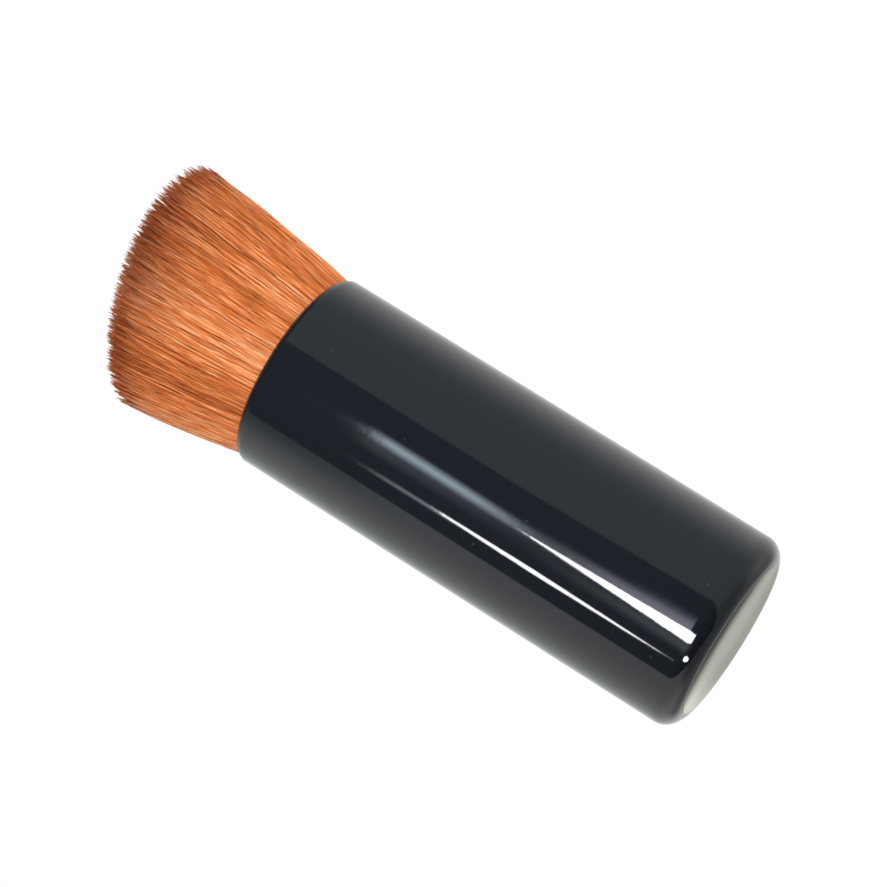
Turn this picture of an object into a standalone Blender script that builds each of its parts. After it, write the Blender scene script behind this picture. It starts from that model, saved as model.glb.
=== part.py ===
"""Short foundation brush with a slanted flat-top tuft, as separate pieces.

The brush stands on its flat base. The origin is the centre of the base face, +Z runs
up through the hair, and the long side of the slanted tuft faces +X.
"""

import math

import bmesh
import bpy
import numpy as np

MM = 0.001

# Clearance between two pieces that touch on the real brush
FIT_GAP = 0.3 * MM

# Handle: one solid turned body with a blind socket in its upper end
HANDLE_LENGTH = 56.5 * MM
HANDLE_RADIUS = 11.5 * MM
BASE_CORNER_WIDTH = 2.5 * MM
BASE_CORNER_HEIGHT = 2.4 * MM
MOUTH_WALL = 1.1 * MM
LIP_RADIUS = 1.05 * MM
SOCKET_RADIUS = HANDLE_RADIUS - MOUTH_WALL

# Cup: thin drawn metal that carries the hair bundle inside the socket
CUP_WALL = 0.4 * MM
CUP_RIM_DEPTH = 2.2 * MM
CUP_FLOOR_BEND = 0.9 * MM
CUP_RADIUS = SOCKET_RADIUS - FIT_GAP
CUP_BORE_RADIUS = CUP_RADIUS - CUP_WALL

# Glue pad under the cup
PAD_THICKNESS = 1.0 * MM
PAD_EDGE_ROUND = 0.35 * MM

# Binding thread: an open helix wound round the foot of the hair bundle
THREAD_DIAMETER = 0.5 * MM
THREAD_SPACING = 0.3 * MM
THREAD_TURNS = 3
THREAD_PITCH = THREAD_DIAMETER + THREAD_SPACING

# Resin plug round the roots, waisted where the thread lies
PLUG_COLLAR_HEIGHT = 0.8 * MM
PLUG_FOOT_HEIGHT = 3.6 * MM
PLUG_RADIUS = CUP_BORE_RADIUS - FIT_GAP
PLUG_WAIST_RADIUS = PLUG_RADIUS - THREAD_DIAMETER - FIT_GAP
PLUG_WAIST_HEIGHT = THREAD_TURNS * THREAD_PITCH + THREAD_DIAMETER + 2 * FIT_GAP
PLUG_HEIGHT = PLUG_FOOT_HEIGHT + PLUG_WAIST_HEIGHT + PLUG_COLLAR_HEIGHT

# Tuft: the top slice of the resin and the strands that grow from it
ROOT_DEPTH = 3.0 * MM
SLICE_THICKNESS = 1.5 * MM
STRAND_SINK = 0.6 * MM
STRAND_COUNT = 400
STRAND_FILL_SHARE = 0.4
STRAND_SIZE_SHARE = STRAND_FILL_SHARE * math.sqrt(math.pi / STRAND_COUNT)
TIP_TAPER_SHARE = 0.85
SHOULDER_HEIGHT = 4.0 * MM
SHOULDER_OVERHANG = 0.4 * MM
TIP_OVERHANG = 2.4 * MM
TUFT_HEIGHT = 19.35 * MM
SLANT_SHARE = 0.2
CROWN_RADIUS = 106.0 * MM
LONG_EDGE_DROP = 0.7 * MM
SHORT_EDGE_DROP = 2.0 * MM
EDGE_POWER = 5.6
RAGGED_TIP = 0.25 * MM
RAGGED_SEED = 7

# Heights along the brush, from the mouth down to the socket's floor
SLICE_TOP_Z = HANDLE_LENGTH - ROOT_DEPTH
SLICE_BOTTOM_Z = SLICE_TOP_Z - SLICE_THICKNESS
PLUG_BOTTOM_Z = SLICE_BOTTOM_Z - FIT_GAP - PLUG_HEIGHT
CUP_BOTTOM_Z = PLUG_BOTTOM_Z - FIT_GAP - CUP_WALL
CUP_HEIGHT = HANDLE_LENGTH - CUP_RIM_DEPTH - CUP_BOTTOM_Z
PAD_BOTTOM_Z = CUP_BOTTOM_Z - FIT_GAP - PAD_THICKNESS
SOCKET_FLOOR_Z = PAD_BOTTOM_Z - FIT_GAP

# Facets
HANDLE_STEPS = 64
HANDLE_ARC_STEPS = 6
INNER_STEPS = 40
INNER_ARC_STEPS = 3
THREAD_POINTS_A_TURN = 20
HANDLE_FACET_SHARE = math.cos(math.pi / HANDLE_STEPS)
STRAND_SIDES = 3
SHARP_ANGLE = math.radians(35)
GOLDEN_ANGLE = math.pi * (3 - math.sqrt(5))
SURFACE_ROUNDS = 12
MERGE_DISTANCE = 0.001 * MM


def linear_colour(hex_colour):
    """An sRGB colour such as 14171B as linear red, green, blue and full alpha."""
    channels = np.array([int(hex_colour[i : i + 2], 16) for i in (0, 2, 4)]) / 255
    low = channels / 12.92
    high = ((channels + 0.055) / 1.055) ** 2.4
    return (*np.where(channels <= 0.04045, low, high), 1.0)


def make_material(name, hex_colour, roughness, metallic=0.0):
    material = bpy.data.materials.new(name)
    material.use_nodes = True
    shader = material.node_tree.nodes["Principled BSDF"]
    shader.inputs["Base Color"].default_value = linear_colour(hex_colour)
    shader.inputs["Roughness"].default_value = roughness
    shader.inputs["Metallic"].default_value = metallic
    material.diffuse_color = linear_colour(hex_colour)
    return material


def clear_scene():
    for old in list(bpy.data.objects):
        bpy.data.objects.remove(old, do_unlink=True)


def new_collection(name):
    collection = bpy.data.collections.new(name)
    bpy.context.scene.collection.children.link(collection)
    return collection


def add_object(name, data, collection, material=None):
    obj = bpy.data.objects.new(name, data)
    collection.objects.link(obj)
    if material:
        obj.data.materials.append(material)
    return obj


def evaluated_mesh(obj):
    """The object's mesh with its modifiers or its curve bevel carried out, caps welded."""
    bpy.context.view_layer.update()
    graph = bpy.context.evaluated_depsgraph_get()
    mesh = bpy.data.meshes.new_from_object(obj.evaluated_get(graph))
    work = bmesh.new()
    work.from_mesh(mesh)
    bmesh.ops.remove_doubles(work, verts=work.verts, dist=MERGE_DISTANCE)
    bmesh.ops.recalc_face_normals(work, faces=work.faces)
    work.to_mesh(mesh)
    work.free()
    return mesh


def shade_round(mesh):
    mesh.shade_smooth()
    mesh.set_sharp_from_angle(angle=SHARP_ANGLE)


def arc(centre_r, centre_z, radius_r, radius_z, start, end, steps=INNER_ARC_STEPS):
    """Points of a quarter round in the profile's plane, from one angle to another."""
    angles = np.linspace(start, end, steps + 1)
    return [
        (centre_r + radius_r * math.cos(a), centre_z + radius_z * math.sin(a))
        for a in angles
    ]


def turned(name, profile, bottom_z, collection, material, steps=INNER_STEPS):
    """A body turned round the Z axis from (radius, height) points.

    The points start and end on the axis and run down the outer side.
    """
    mesh = bpy.data.meshes.new(name)
    points = [(r, 0.0, z) for r, z in profile]
    edges = [(i, i + 1) for i in range(len(points) - 1)]
    mesh.from_pydata(points, edges, [])
    obj = add_object(name, mesh, collection, material)
    screw = obj.modifiers.new("Turn", "SCREW")
    screw.steps = steps
    screw.render_steps = steps
    screw.use_merge_vertices = True
    screw.merge_threshold = MERGE_DISTANCE
    obj.data = evaluated_mesh(obj)
    obj.modifiers.clear()
    shade_round(obj.data)
    obj.location.z = bottom_z
    return obj


def handle_body(collection):
    """The glossy body: a rounded closed base, straight sides, a rounded lip and a socket."""
    lip = min(LIP_RADIUS, MOUTH_WALL)
    lip_arc = arc(
        HANDLE_RADIUS - lip,
        HANDLE_LENGTH - lip,
        lip,
        lip,
        math.pi / 2,
        0,
        HANDLE_ARC_STEPS,
    )
    base_arc = arc(
        HANDLE_RADIUS - BASE_CORNER_WIDTH,
        BASE_CORNER_HEIGHT,
        BASE_CORNER_WIDTH,
        BASE_CORNER_HEIGHT,
        0,
        -math.pi / 2,
        HANDLE_ARC_STEPS,
    )
    profile = [
        (0, SOCKET_FLOOR_Z),
        (SOCKET_RADIUS, SOCKET_FLOOR_Z),
        (SOCKET_RADIUS, HANDLE_LENGTH),
        *lip_arc,
        *base_arc,
        (0, 0),
    ]
    material = make_material("black gloss resin", "14171B", 0.06)
    return turned("handle_body", profile, 0, collection, material, HANDLE_STEPS)


def setting_adhesive(collection):
    """The set glue between the socket's floor and the cup: a round pad with a soft edge."""
    edge = min(PAD_EDGE_ROUND, PAD_THICKNESS / 2)
    profile = [
        (0, PAD_THICKNESS),
        *arc(CUP_RADIUS - edge, PAD_THICKNESS - edge, edge, edge, math.pi / 2, 0),
        *arc(CUP_RADIUS - edge, edge, edge, edge, 0, -math.pi / 2),
        (0, 0),
    ]
    material = make_material("amber epoxy", "B98B3C", 0.35)
    return turned("setting_adhesive", profile, PAD_BOTTOM_Z, collection, material)


def ferrule_cup(collection):
    """A thin drawn cup with a rounded foot, open at the top."""
    bend = max(CUP_FLOOR_BEND, CUP_WALL)
    inner_bend = bend - CUP_WALL
    inner = arc(
        CUP_BORE_RADIUS - inner_bend,
        CUP_WALL + inner_bend,
        inner_bend,
        inner_bend,
        -math.pi / 2,
        0,
    )
    outer = arc(CUP_RADIUS - bend, bend, bend, bend, 0, -math.pi / 2)
    profile = [
        (0, CUP_WALL),
        *inner,
        (CUP_BORE_RADIUS, CUP_HEIGHT),
        (CUP_RADIUS, CUP_HEIGHT),
        *outer,
        (0, 0),
    ]
    material = make_material("drawn aluminium", "C9CCCF", 0.3, 1.0)
    return turned("ferrule_cup", profile, CUP_BOTTOM_Z, collection, material)


def root_resin(collection):
    """The set plug round the roots, with a waist that the binding thread lies in."""
    foot_bend = max(CUP_FLOOR_BEND, CUP_WALL) - CUP_WALL
    foot = arc(
        PLUG_RADIUS - foot_bend, foot_bend, foot_bend, foot_bend, 0, -math.pi / 2
    )
    waist_bottom = PLUG_FOOT_HEIGHT
    waist_top = PLUG_FOOT_HEIGHT + PLUG_WAIST_HEIGHT
    profile = [
        (0, PLUG_HEIGHT),
        (PLUG_RADIUS, PLUG_HEIGHT),
        (PLUG_RADIUS, waist_top),
        (PLUG_WAIST_RADIUS, waist_top),
        (PLUG_WAIST_RADIUS, waist_bottom),
        (PLUG_RADIUS, waist_bottom),
        *foot,
        (0, 0),
    ]
    material = make_material("root resin", "8A5A2B", 0.4)
    return turned("root_resin", profile, PLUG_BOTTOM_Z, collection, material)


def curve_mesh(name, curve, collection):
    """A bevelled curve made a closed mesh, and the curve object removed."""
    obj = add_object(name, curve, collection)
    mesh = evaluated_mesh(obj)
    bpy.data.objects.remove(obj, do_unlink=True)
    return mesh


def new_curve(name):
    curve = bpy.data.curves.new(name, "CURVE")
    curve.dimensions = "3D"
    curve.use_fill_caps = True
    return curve


def add_spline(curve, points, radii, twist=0.0):
    """One straight-sided spline, with its bevel's size at each point and its turn."""
    spline = curve.splines.new("POLY")
    spline.points.add(len(points) - 1)
    flat = np.column_stack([points, np.ones(len(points))]).ravel()
    spline.points.foreach_set("co", flat)
    spline.points.foreach_set("radius", radii)
    spline.points.foreach_set("tilt", np.full(len(points), twist))


def binding_thread(collection, guides):
    """An open helix of thread in the resin's waist."""
    count = THREAD_TURNS * THREAD_POINTS_A_TURN + 1
    turns = np.linspace(0, THREAD_TURNS, count)
    angle = turns * math.tau
    radius = PLUG_WAIST_RADIUS + FIT_GAP + THREAD_DIAMETER / 2
    height = FIT_GAP + THREAD_DIAMETER / 2 + turns * THREAD_PITCH
    points = np.column_stack([radius * np.cos(angle), radius * np.sin(angle), height])
    curve = new_curve("binding_thread")
    curve.bevel_depth = THREAD_DIAMETER / 2
    curve.bevel_resolution = 1
    add_spline(curve, points, np.ones(count))
    mesh = curve_mesh("thread_route", curve, guides)
    shade_round(mesh)
    material = make_material("waxed cotton thread", "E6DFCF", 0.8)
    obj = add_object("binding_thread", mesh, collection, material)
    obj.location.z = PLUG_BOTTOM_Z + PLUG_FOOT_HEIGHT
    return obj


def tuft_radius(height):
    """Radius of the outermost centre lines at a height over the mouth.

    One straight line runs from the roots through the mouth to the shoulder, and a
    second from the shoulder to the tips, so the hair bends a little over the lip.
    The named sizes are those of the tuft's outside, half a strand further out.
    """
    mouth = SOCKET_RADIUS * HANDLE_FACET_SHARE - FIT_GAP
    shoulder = HANDLE_RADIUS + SHOULDER_OVERHANG
    tip = HANDLE_RADIUS + TIP_OVERHANG
    lower_slope = (shoulder - mouth) / SHOULDER_HEIGHT
    upper_slope = (tip - shoulder) / (TUFT_HEIGHT - SHOULDER_HEIGHT)
    lower = mouth + lower_slope * height
    upper = shoulder + upper_slope * (height - SHOULDER_HEIGHT)
    outside = np.where(height < SHOULDER_HEIGHT, lower, upper)
    return outside / (1 + STRAND_SIZE_SHARE)


def tip_height(share, angle):
    """Height over the mouth of the cut tips, for strands at a share of the tuft's radius.

    The cut is a plane that slants up towards +X, less a shallow crown along X and a
    rounding at the rim, which is deeper on the short side. The height depends on where
    the strand is at that height, so it is found by rounds of substitution.
    """
    rim_drop = (LONG_EDGE_DROP + SHORT_EDGE_DROP) / 2 + (
        LONG_EDGE_DROP - SHORT_EDGE_DROP
    ) / 2 * np.cos(angle)
    height = np.full(len(share), TUFT_HEIGHT)
    for _ in range(SURFACE_ROUNDS):
        x = share * tuft_radius(height) * np.cos(angle)
        plane = TUFT_HEIGHT + SLANT_SHARE * x - x * x / (2 * CROWN_RADIUS)
        height = plane - rim_drop * share**EDGE_POWER
    return height


def strand_mesh(guides):
    """All strands, evenly spread as sunflower seeds are, each a bent three-sided lock.

    Every strand keeps its angle and its share of the tuft's radius at each height, so
    the strands fan out and none crosses another.
    """
    index = np.arange(STRAND_COUNT)
    share = np.sqrt((index + 1) / STRAND_COUNT)
    angle = index * GOLDEN_ANGLE
    chance = np.random.default_rng(RAGGED_SEED)
    tips = tip_height(share, angle) + RAGGED_TIP * chance.uniform(-1, 1, STRAND_COUNT)
    twists = chance.uniform(0, math.tau, STRAND_COUNT)
    ones = np.ones(STRAND_COUNT)
    heights = np.column_stack(
        [-(ROOT_DEPTH + STRAND_SINK) * ones, SHOULDER_HEIGHT * ones, tips]
    )
    radii = tuft_radius(heights)
    sizes = STRAND_SIZE_SHARE * radii
    sizes[:, -1] *= TIP_TAPER_SHARE
    away = share[:, None] * radii
    x = away * np.cos(angle)[:, None]
    y = away * np.sin(angle)[:, None]
    points = np.stack([x, y, heights + HANDLE_LENGTH], axis=2)
    section = bpy.data.curves.new("strand_section", "CURVE")
    section.dimensions = "2D"
    corners = np.arange(STRAND_SIDES) * math.tau / STRAND_SIDES
    flat = np.column_stack([np.cos(corners), np.sin(corners), np.zeros(STRAND_SIDES)])
    add_spline(section, flat, np.ones(STRAND_SIDES))
    section.splines[0].use_cyclic_u = True
    section_object = add_object("strand_section", section, guides)
    curve = new_curve("strands")
    curve.bevel_mode = "OBJECT"
    curve.bevel_object = section_object
    for route, widths, twist in zip(points, sizes, twists):
        add_spline(curve, route, widths, twist)
    mesh = curve_mesh("strand_routes", curve, guides)
    bpy.data.objects.remove(section_object, do_unlink=True)
    return mesh


def bristle_tuft(collection, guides):
    """The resin slice with every strand joined to it."""
    rim = [
        (0, SLICE_THICKNESS),
        (PLUG_RADIUS, SLICE_THICKNESS),
        (PLUG_RADIUS, 0),
        (0, 0),
    ]
    material = make_material("copper brown filament", "B4683A", 0.5)
    tuft = turned("bristle_tuft", rim, SLICE_BOTTOM_Z, collection, material)
    strands = add_object("strand_field", strand_mesh(guides), guides)
    hide_guide(strands)
    union = tuft.modifiers.new("Join strands", "BOOLEAN")
    union.operation = "UNION"
    union.object = strands
    return tuft


def hide_guide(obj):
    obj.hide_render = True
    obj.display_type = "WIRE"


def build_brush():
    clear_scene()
    pieces = new_collection("foundation_brush")
    guides = new_collection("cutters")
    guides.hide_render = True
    axis = bpy.data.objects.new("brush_axis", None)
    pieces.objects.link(axis)
    made = (
        handle_body(pieces),
        setting_adhesive(pieces),
        ferrule_cup(pieces),
        root_resin(pieces),
        binding_thread(pieces, guides),
        bristle_tuft(pieces, guides),
    )
    for piece in made:
        piece.parent = axis
    bpy.context.view_layer.update()


build_brush()
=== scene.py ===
"""Looks of a short foundation brush: a gloss black handle and a slanted tuft of filament.

The brush stands on its flat base at the origin, +Z runs up through the hair and the long
side of the tuft faces +X. Lengths are in metres.
"""

import math
from types import SimpleNamespace

import bpy
import numpy as np
from bpy.props import FloatProperty, FloatVectorProperty, IntProperty, PointerProperty
from mathutils import Matrix, Vector


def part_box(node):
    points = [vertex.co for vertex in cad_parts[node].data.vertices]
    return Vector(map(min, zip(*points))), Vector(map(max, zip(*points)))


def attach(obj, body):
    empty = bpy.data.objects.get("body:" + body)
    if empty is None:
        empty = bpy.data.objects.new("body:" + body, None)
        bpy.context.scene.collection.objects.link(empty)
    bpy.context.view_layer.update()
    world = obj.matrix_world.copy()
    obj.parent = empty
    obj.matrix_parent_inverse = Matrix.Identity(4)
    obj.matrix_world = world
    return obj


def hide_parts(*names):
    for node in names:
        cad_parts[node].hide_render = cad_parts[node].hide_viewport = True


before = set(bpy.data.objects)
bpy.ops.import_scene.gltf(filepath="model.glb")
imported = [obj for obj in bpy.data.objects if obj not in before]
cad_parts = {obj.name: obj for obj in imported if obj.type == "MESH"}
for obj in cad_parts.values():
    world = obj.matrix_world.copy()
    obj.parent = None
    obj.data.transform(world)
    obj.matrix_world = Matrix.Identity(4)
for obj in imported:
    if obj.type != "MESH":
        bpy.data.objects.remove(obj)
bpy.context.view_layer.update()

bl_info = {
    "name": "Foundation brush",
    "version": (1, 0, 0),
    "blender": (4, 5, 0),
    "location": "3D View > Sidebar > Brush",
    "description": "Dresses a short foundation brush: handle, tuft, inner pieces and stage",
    "category": "Object",
}

# Node kinds, and the sockets of a Mix node for colours, which share their names
MATH = "ShaderNodeMath"
RANGE = "ShaderNodeMapRange"
RAMP = "ShaderNodeValToRGB"
NOISE = "ShaderNodeTexNoise"
CELLS = "ShaderNodeTexVoronoi"
BUMP = "ShaderNodeBump"
TEXTURE_PLACE = "ShaderNodeTexCoord"
MAPPING = "ShaderNodeMapping"
BACKGROUND = "ShaderNodeBackground"
LIGHT_PATH = "ShaderNodeLightPath"
MIX = "ShaderNodeMix"
MIX_SHADER = "ShaderNodeMixShader"
MIX_UNDER, MIX_OVER, MIX_COLOUR = 6, 7, 2
WHITE = (1.0, 1.0, 1.0, 1.0)

MM = 0.001
DEGREE = math.pi / 180

# Handle, as it was turned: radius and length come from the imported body
HANDLE_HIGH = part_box("handle_body")[1]
HANDLE_RADIUS = HANDLE_HIGH.x
HANDLE_LENGTH = HANDLE_HIGH.z
BASE_CORNER_WIDTH = 2.5 * MM
BASE_CORNER_HEIGHT = 2.4 * MM
BASE_SWELL = 0.08 * MM
BASE_SWELL_POWER = 3
MOUTH_WALL = 1.1 * MM
LIP_RADIUS = 1.05 * MM
LIP_REACH = 60 * DEGREE
INNER_EDGE_RADIUS = 0.04 * MM
BELL_DEPTH = 3.2 * MM
SOCKET_RADIUS = HANDLE_RADIUS - MOUTH_WALL
PAD_GAP = 0.3 * MM
SOCKET_FLOOR_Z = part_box("setting_adhesive")[0].z - PAD_GAP
HANDLE_STEPS = 256
ARC_STEPS = 20
SIDE_STEPS = 40
# A ring this close to each curve keeps the straight side's shading straight
HOLD_GAP = 0.1 * MM

# The handle's polish: clouds of haze, specks of dust and a faint ripple
HAZE_SIZE = 4 * MM
HAZE_RANGE = {"From Min": 0.35, "From Max": 0.7}
HAZE_ROUGHNESS = 0.022
DUST_SPACING = 3.2 * MM
DUST_RANGE = {"From Min": 0.035, "From Max": 0.015}
RIPPLE_SIZE = 1.6 * MM
RIPPLE_DEPTH = 0.002 * MM

# Tuft: its outside radius is a parabola over the mouth, with the bend per metre, and
# narrows below it to the roots
ROOT_Z = -3.3 * MM
ROOT_RADIUS = 9.25 * MM
FLARE_RADIUS = 11.0 * MM
FLARE_SLOPE_SHARE = 0.2
FLARE_BEND = 2.9

# Slice of resin that the hair grows from, under the mouth
SLICE_DEPTH = 3.0 * MM
SLICE_THICKNESS = 1.5 * MM
SLICE_RADIUS = 9.4 * MM
SLICE_EDGE = 0.2 * MM
SLICE_STEPS = 96

# Tuft: the slanted cut, with its crown and its rounding at the rim
CUT_HEIGHT = 19.3 * MM
SLANT_SHARE = 0.2
CROWN_RADIUS = 125 * MM
LONG_EDGE_DROP = 0.45 * MM
SHORT_EDGE_DROP = 1.55 * MM
EDGE_POWER = 5.6
CUT_ROUNDS = 12

# Filaments: real ones are about 0.08 mm thick, drawn a little coarser so that they show.
# The outer ones reach the roots, and of the inner ones only the last part is made.
FILAMENTS = 28000
SEED = 11
GOLDEN_ANGLE = math.pi * (3 - math.sqrt(5))
SECTORS = 8
FILAMENT_RADIUS = 0.063 * MM
FILAMENT_SIZES = (0.8, 1.25)
TIP_SIZE_SHARE = 0.3
TAPER_LENGTH = 3.5 * MM
OUTER_SHARE = 0.87
OUTER_RINGS = 18
INNER_RINGS = 6
INNER_LENGTH = 9 * MM
TUFT_SHIFT = 0.14 * MM

# How seats and clumps scatter, in shares of their spacing, and how the filaments lean and
# wander. Near the axis a lean turns no further than it does at the least share.
SEAT_SCATTER_OUT = 0.4
SEAT_SCATTER_ROUND = 0.5
CLUMP_SCATTER = 0.3
LEAST_SHARE = 0.1
LEAN_ROUND = 0.55 * MM
LEAN_OUT = 0.4 * MM
WANDER_ROUND = 0.08 * MM
WANDER_OUT = 0.06 * MM
WANDER_LENGTH = 10 * MM
WANDER_PACES = (0.7, 1.4)
WANDER_START = 4 * MM

# Small points that the tips gather in: each falls away round its middle, up to a limit
CLUMP_SPACING = 0.6 * MM
CLUMP_PULL_SHARE = 0.5
CLUMP_HEIGHT = 3.5 * MM
CLUMP_POINT = 0.75 * MM
CLUMP_LIMIT = 1.2
UNEVEN_TIP = 0.45 * MM
UNEVEN_CLUMP = 0.5 * UNEVEN_TIP
TIP_RAISE = 0.27 * MM

# Packed inside of the tuft, some way under the cut. Its cap has rings between two shares
# of its radius.
CORE_SHARE = 0.9
CORE_DEPTH = 6 * MM
CORE_COLUMNS = 96
CORE_ROWS = 24
CORE_CAP_RINGS = 9
CORE_CAP_SHARES = (0.9, 0.1)

# Tone, from 0 to 1. Waves go round the tuft, of tone and of where the darkening towards the cut
# starts: each has its number, its strength and its turn. The tone waves are painted shade and
# sheen, and the waves of the darkening are painted shade: sides of the tuft made lighter or
# darker in colour.
TONE_MIDDLE = 0.43
SHADE_AND_SHEEN_WAVES = ((4, 0.105, 71 * DEGREE), (6, 0.078, 348 * DEGREE))
TONE_SPREAD = 0.17
CLUMP_TONE_SPREAD = 0.03
TONE_LIMITS = (0.02, 0.98)
TONE_PLACES = (0.08, 0.5, 0.92)
DARKENING_START = 2.1 * MM
DARKENING_SHADE_WAVES = ((2, 1.34 * MM, 48 * DEGREE), (5, 0.48 * MM, 293 * DEGREE))

# The filaments' map: its height stands for this much depth, a filament reaches this far to
# either side of its tone, dashes of painted highlight and shade have this many cells, and the
# filaments turn darker towards the cut with these colours at these heights
DEPTH_SPAN = 26 * MM
TONE_WIDTH_SHARE = 0.002
GLINT_DASH_CELLS = (170, 13, 1)
GLINT_DASH_CONTRAST = 0.7
TIP_DARKENING = (
    (0.415, "FFFFFF"),
    (0.625, "F6F2EC"),
    (0.745, "E8E1DC"),
    (0.825, "D2C6C3"),
    (0.885, "BDABA9"),
    (0.95, "AA9593"),
)

# Patterns of the other finishes. A stretch is the share of a pattern's fineness that is
# left along it. The thread's plies lie about a third of its wave apart.
STREAK_WIDTH = 0.16 * MM
STREAK_STRETCH = 0.03
STREAK_RELIEF = 0.1 * MM
CAST_CLOUD = 3 * MM
EPOXY_CLOUD = 2 * MM
BUBBLE_SPACING = 0.9 * MM
BUBBLE_RANGE = {"From Min": 0.05, "From Max": 0.2}
BUBBLE_RELIEF = 0.05 * MM
DRAW_LINE_WIDTH = 0.15 * MM
DRAW_LINE_STRETCH = 0.04
DRAW_LINE_RELIEF = 0.01 * MM
DRAW_LINE_ROUGHNESS = {"To Min": 0.22, "To Max": 0.42}
PLY_WAVE = 1.6 * MM
PLY_RELIEF = 0.04 * MM

# Camera, fitted to the handle's outline: the picture is 887 pixels square
PICTURE_PIXELS = 887
FOCAL_PIXELS = 3500
SENSOR_WIDTH = 36.0
CAMERA_PLACE = (0.0, -367.135 * MM, -52.921 * MM)
CAMERA_TURN = -0.253 * DEGREE
CAMERA_TILT = 13.89 * DEGREE
CAMERA_ROLL = -58.01 * DEGREE
CAMERA_CLIP = 10 * MM

# Floor, a disc of paper that fades into the backdrop over this distance
FLOOR_GAP = 0.3 * MM
FLOOR_RADIUS = 4000 * MM
FLOOR_STEPS = 96
FLOOR_FADE = (90 * MM, 330 * MM)

# Lights that gloss shows, in degrees. Each has a foot and a top, which give the angle round
# the brush from the camera's side, the height over the horizon and the half width. Then
# come the fades at the foot and at the top, the soft edge across, the level and the colour.
GLOSS_LIGHTS = (
    # strip light, a wedge that points up
    ((-19.5, 8.7, 6.4), (-19.0, 12.05, 0.35), (0.05, 0.3), 0.5, 26.0, "FFFFFF"),
    # the same strip light's square end
    ((-20.2, -28.0, 5.3), (-19.5, 8.75, 6.4), (3.0, 0.05), 0.8, 26.0, "FFFFFF"),
    # narrow light beside it, lower and upper half
    ((-50.4, 8.9, 0.25), (-50.1, 11.55, 2.4), (0.6, 0.1), 0.9, 26.0, "FFFFFF"),
    ((-50.1, 11.45, 2.4), (-49.8, 13.45, 1.05), (0.1, 0.35), 0.9, 26.0, "FFFFFF"),
    # faint upper end of the narrow light
    ((-50.3, 12.8, 2.0), (-51.2, 15.0, 1.6), (0.5, 0.8), 2.0, 3.2, "E6F0FA"),
    # window glow over the strip light
    ((-16.2, 11.3, 3.9), (-15.0, 15.02, 3.8), (2.0, 0.2), 5.0, 8.6, "DBF1FF"),
    # haze round the strip light, on its side towards the camera
    ((-12.9, 7.5, 9.0), (-15.0, 12.6, 4.5), (0.9, 3.2), 5.0, 4.5, "DCDDF2"),
    # faint outer edge of that haze, near the foot
    ((-2.1, 7.5, 4.9), (-4.0, 10.4, 3.0), (0.9, 1.2), 4.5, 1.3, "DCDDF2"),
    # haze on its other side
    ((-26.0, 10.5, 5.0), (-23.5, 15.4, 6.5), (4.5, 0.6), 7.0, 1.1, "DCE4EE"),
    # haze under its square end
    ((-31.0, -45.0, 9.0), (-30.0, 12.4, 4.0), (45.0, 3.4), 7.0, 1.4, "DCE4EE"),
    # brighter end of the table's far edge, low behind
    ((-178.3, -10.4, 0.4), (-178.3, -4.0, 0.4), (2.2, 0.5), 0.9, 0.75, "FFFFF6"),
    # small lamp low in front, lower and upper half
    ((-56.0, -52.0, 2.2), (-48.6, -39.0, 4.0), (4.0, 0.1), 1.2, 34.0, "FFFFFF"),
    ((-48.6, -39.0, 4.0), (-44.5, -26.0, 2.2), (0.1, 4.0), 1.2, 34.0, "FFFFFF"),
)
# Zones of the studio that gloss shows, each laid over those before it: its name, its colour
# and its bands. A band is an angle in degrees, where it sets in and, if it ends, where it
# sinks. "around" is counted from the camera's side, "off" is its size to either side, and
# "slanted" is "around" less the slant of the unlit side.
GLOSS_ZONES = (
    ("table", "E4E6E4", ("height", (0, -24))),
    ("duller wall", "B5C4CD", ("around", (0, 10), (78, 125))),
    ("window side", "F8FDFF", ("around", (-175, -140), (-75, -60))),
    ("corner", "A9B5BC", ("around", (-100, -72), (-72, -60)), ("height", (13.0, 16.4))),
    ("shade behind", "A0A3A1", ("off", (125, 165)), ("height", (-12.5, -26))),
    ("near table", "979B9B", ("height", (-42, -64))),
    ("table edge", None, ("off", (174, 179)), ("height", (-16, -11.8), (-4, 0))),
    ("unlit side", None, ("around", (-72.4, -69.9)), ("slanted", (21.6, 18.4))),
    ("ceiling", "3A4248", ("height", (26, 56))),
    ("shelf", "14161A", ("height", (18, 26), (52, 62)), ("off", (150, 170))),
)
# Colours of the table's far edge, as the base face mirrors it, over this range of height
TABLE_EDGE_RANGE = {"From Min": -12, "From Max": -4}
TABLE_EDGE = (
    (0.09, "5D5D59"),
    (0.21, "93938D"),
    (0.34, "EFF0E6"),
    (0.43, "FFFFF6"),
    (0.48, "F6F7EC"),
    (0.53, "E7E8DD"),
    (0.63, "D8D9CD"),
)
# The unlit side towards the camera: its colours, the heights between which it darkens, and
# the slant of its edge, from none at the first height to the whole angle at the second
UNLIT_COLOURS = ("4C5764", "2A2C30")
UNLIT_DARKENING = (-12, -40)
UNLIT_SLANT = {"From Min": 12.4, "From Max": 9.0, "To Max": 5.4}

# Round lamps, which light what is matt: the angle round the brush from the camera's side,
# the height and half of what the lamp spans, in degrees, then the setting of its level
LAMPS = (
    ("key_lamp", 12, 30, 14, "key_level"),
    ("front_lamp", -8, 4, 10, "front_level"),
    ("back_lamp", 155, 52, 35, "back_level"),
)
LAMP_TARGET = (0.0, 0.0, 40 * MM)
LAMP_DISTANCE = 2500 * MM
# Watts that make a square metre of a lamp's face shine as bright as white
LAMP_WATTS = 4


def linear_colour(hex_colour):
    """An sRGB colour such as 14171B as linear red, green, blue and full alpha."""
    channels = np.array([int(hex_colour[i : i + 2], 16) for i in (0, 2, 4)]) / 255
    low = channels / 12.92
    high = ((channels + 0.055) / 1.055) ** 2.4
    return (*np.where(channels <= 0.04045, low, high).tolist(), 1.0)


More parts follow.
